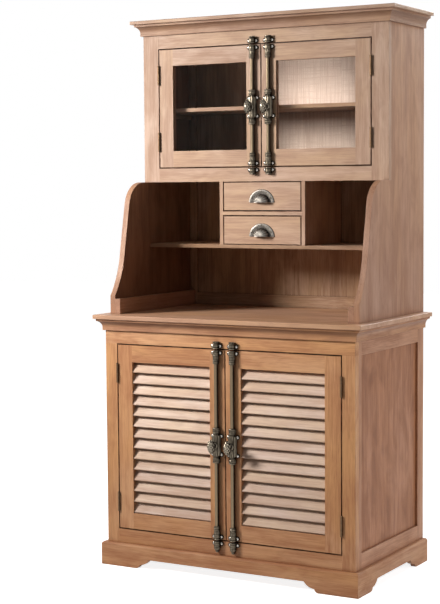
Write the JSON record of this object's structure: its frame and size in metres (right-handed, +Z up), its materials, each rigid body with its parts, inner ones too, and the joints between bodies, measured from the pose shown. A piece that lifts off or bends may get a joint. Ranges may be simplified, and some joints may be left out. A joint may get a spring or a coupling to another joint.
{
  "type": "step back cupboard",
  "caption": "Step back cupboard with louvred doors below a worktop, an open niche with small drawers, and a set-back glazed cabinet above; every door has a cremone bolt.",
  "frame": {"origin": "on the floor, midway across the width and midway between the front of the lower knobs and the back", "axes": "+X to the viewer's right, +Y from the front to the back, +Z up"},
  "size_m": [1.128, 0.6794, 2.1],
  "materials": {
    "upper_wood": "washed, waxed",
    "upper_side_wood": "waxed",
    "inside_wood": "oiled",
    "top_wood": "waxed",
    "base_wood": "waxed",
    "base_side_wood": "waxed",
    "louvre_wood": "washed, waxed",
    "glass": "clear",
    "hinge_metal": "aged",
    "cup_metal": "aged pewter",
    "bolt_metal": "aged bronze"
  },
  "bodies": {
    "case": {"base_back": "inside_wood", "base_face_frame": "base_wood", "base_floor": "inside_wood", "base_moulding": "top_wood", "base_shelf": "inside_wood", "base_side_frame_left": "base_side_wood", "base_side_frame_right": "base_side_wood", "base_side_panels": "base_side_wood", "bolt_keeps": "bolt_metal", "crown_cap": "upper_wood", "crown_moulding": "upper_wood", "drawer_dividers": "upper_wood", "drawer_dust_board": "upper_wood", "hinge_frame_leaves": "hinge_metal", "hutch_back_frame": "inside_wood", "hutch_back_panels": "inside_wood", "hutch_side_left": "upper_side_wood", "hutch_side_right": "upper_side_wood", "niche_shelf": "inside_wood", "plinth": "base_wood", "plinth_corner_blocks": "inside_wood", "shelf_cleats": "inside_wood", "upper_face_frame": "upper_wood", "upper_floor": "inside_wood", "upper_shelf": "inside_wood", "upper_top_board": "inside_wood", "worktop": "top_wood", "worktop_curbs": "upper_side_wood"},
    "lower_door_right": {"lower_door_frame_right": "base_wood", "lower_door_louvres_right": "louvre_wood", "lower_door_hinge_leaves_right": "hinge_metal", "lower_door_bolt_case_right": "bolt_metal"},
    "lower_door_knob_right": {"lower_door_knob_right": "bolt_metal"},
    "lower_door_top_rod_right": {"lower_door_top_rod_right": "bolt_metal"},
    "lower_door_bottom_rod_right": {"lower_door_bottom_rod_right": "bolt_metal"},
    "lower_door_left": {"lower_door_frame_left": "base_wood", "lower_door_louvres_left": "louvre_wood", "lower_door_hinge_leaves_left": "hinge_metal", "lower_door_bolt_case_left": "bolt_metal"},
    "lower_door_knob_left": {"lower_door_knob_left": "bolt_metal"},
    "lower_door_top_rod_left": {"lower_door_top_rod_left": "bolt_metal"},
    "lower_door_bottom_rod_left": {"lower_door_bottom_rod_left": "bolt_metal"},
    "upper_door_right": {"upper_door_frame_right": "upper_wood", "upper_door_glass_right": "glass", "upper_door_hinge_leaves_right": "hinge_metal", "upper_door_bolt_case_right": "bolt_metal"},
    "upper_door_knob_right": {"upper_door_knob_right": "bolt_metal"},
    "upper_door_top_rod_right": {"upper_door_top_rod_right": "bolt_metal"},
    "upper_door_bottom_rod_right": {"upper_door_bottom_rod_right": "bolt_metal"},
    "upper_door_left": {"upper_door_frame_left": "upper_wood", "upper_door_glass_left": "glass", "upper_door_hinge_leaves_left": "hinge_metal", "upper_door_bolt_case_left": "bolt_metal"},
    "upper_door_knob_left": {"upper_door_knob_left": "bolt_metal"},
    "upper_door_top_rod_left": {"upper_door_top_rod_left": "bolt_metal"},
    "upper_door_bottom_rod_left": {"upper_door_bottom_rod_left": "bolt_metal"},
    "drawer_bottom": {"drawer_bottom": "upper_wood", "drawer_bottom_pull": "cup_metal"},
    "drawer_top": {"drawer_top": "upper_wood", "drawer_top_pull": "cup_metal"}
  },
  "joints": [
    {"name": "lower_door_right_hinge", "type": "hinge", "parent": "case", "child": "lower_door_right", "pos_m": [0.4715, -0.282, 0.5], "axis": [0, 0, 1], "range_deg": [0, 160]},
    {"name": "lower_door_right_knob_turn", "type": "hinge", "parent": "lower_door_right", "child": "lower_door_knob_right", "pos_m": [0.034, -0.278, 0.5], "axis": [0, -1, 0], "range_deg": [0, 90]},
    {"name": "lower_door_right_top_rod_slide", "type": "slide", "parent": "lower_door_right", "child": "lower_door_top_rod_right", "axis": [0, 0, 1], "range_m": [0, 0.0141]},
    {"name": "lower_door_right_bottom_rod_slide", "type": "slide", "parent": "lower_door_right", "child": "lower_door_bottom_rod_right", "axis": [0, 0, -1], "range_m": [0, 0.0141]},
    {"name": "lower_door_left_hinge", "type": "hinge", "parent": "case", "child": "lower_door_left", "pos_m": [-0.4715, -0.282, 0.5], "axis": [0, 0, -1], "range_deg": [0, 160]},
    {"name": "lower_door_left_knob_turn", "type": "hinge", "parent": "lower_door_left", "child": "lower_door_knob_left", "pos_m": [-0.034, -0.278, 0.5], "axis": [0, 1, 0], "range_deg": [0, 90]},
    {"name": "lower_door_left_top_rod_slide", "type": "slide", "parent": "lower_door_left", "child": "lower_door_top_rod_left", "axis": [0, 0, 1], "range_m": [0, 0.0141]},
    {"name": "lower_door_left_bottom_rod_slide", "type": "slide", "parent": "lower_door_left", "child": "lower_door_bottom_rod_left", "axis": [0, 0, -1], "range_m": [0, 0.0141]},
    {"name": "upper_door_right_hinge", "type": "hinge", "parent": "case", "child": "upper_door_right", "pos_m": [0.4545, 0.008, 1.7505], "axis": [0, 0, 1], "range_deg": [0, 160]},
    {"name": "upper_door_right_knob_turn", "type": "hinge", "parent": "upper_door_right", "child": "upper_door_knob_right", "pos_m": [0.034, 0.012, 1.7505], "axis": [0, -1, 0], "range_deg": [0, 90]},
    {"name": "upper_door_right_top_rod_slide", "type": "slide", "parent": "upper_door_right", "child": "upper_door_top_rod_right", "axis": [0, 0, 1], "range_m": [0, 0.0141]},
    {"name": "upper_door_right_bottom_rod_slide", "type": "slide", "parent": "upper_door_right", "child": "upper_door_bottom_rod_right", "axis": [0, 0, -1], "range_m": [0, 0.0141]},
    {"name": "upper_door_left_hinge", "type": "hinge", "parent": "case", "child": "upper_door_left", "pos_m": [-0.4545, 0.008, 1.7505], "axis": [0, 0, -1], "range_deg": [0, 160]},
    {"name": "upper_door_left_knob_turn", "type": "hinge", "parent": "upper_door_left", "child": "upper_door_knob_left", "pos_m": [-0.034, 0.012, 1.7505], "axis": [0, 1, 0], "range_deg": [0, 90]},
    {"name": "upper_door_left_top_rod_slide", "type": "slide", "parent": "upper_door_left", "child": "upper_door_top_rod_left", "axis": [0, 0, 1], "range_m": [0, 0.0141]},
    {"name": "upper_door_left_bottom_rod_slide", "type": "slide", "parent": "upper_door_left", "child": "upper_door_bottom_rod_left", "axis": [0, 0, -1], "range_m": [0, 0.0141]},
    {"name": "drawer_bottom_slide", "type": "slide", "parent": "case", "child": "drawer_bottom", "axis": [0, -1, 0], "range_m": [0, 0.22]},
    {"name": "drawer_top_slide", "type": "slide", "parent": "case", "child": "drawer_top", "axis": [0, -1, 0], "range_m": [0, 0.22]}
  ],
  "couplings": [
    {"joint": "lower_door_right_top_rod_slide", "follows": "lower_door_right_knob_turn", "m_per_rad": 0.0089},
    {"joint": "lower_door_right_bottom_rod_slide", "follows": "lower_door_right_knob_turn", "m_per_rad": 0.0089},
    {"joint": "lower_door_left_top_rod_slide", "follows": "lower_door_left_knob_turn", "m_per_rad": 0.0089},
    {"joint": "lower_door_left_bottom_rod_slide", "follows": "lower_door_left_knob_turn", "m_per_rad": 0.0089},
    {"joint": "upper_door_right_top_rod_slide", "follows": "upper_door_right_knob_turn", "m_per_rad": 0.0089},
    {"joint": "upper_door_right_bottom_rod_slide", "follows": "upper_door_right_knob_turn", "m_per_rad": 0.0089},
    {"joint": "upper_door_left_top_rod_slide", "follows": "upper_door_left_knob_turn", "m_per_rad": 0.0089},
    {"joint": "upper_door_left_bottom_rod_slide", "follows": "upper_door_left_knob_turn", "m_per_rad": 0.0089}
  ]
}
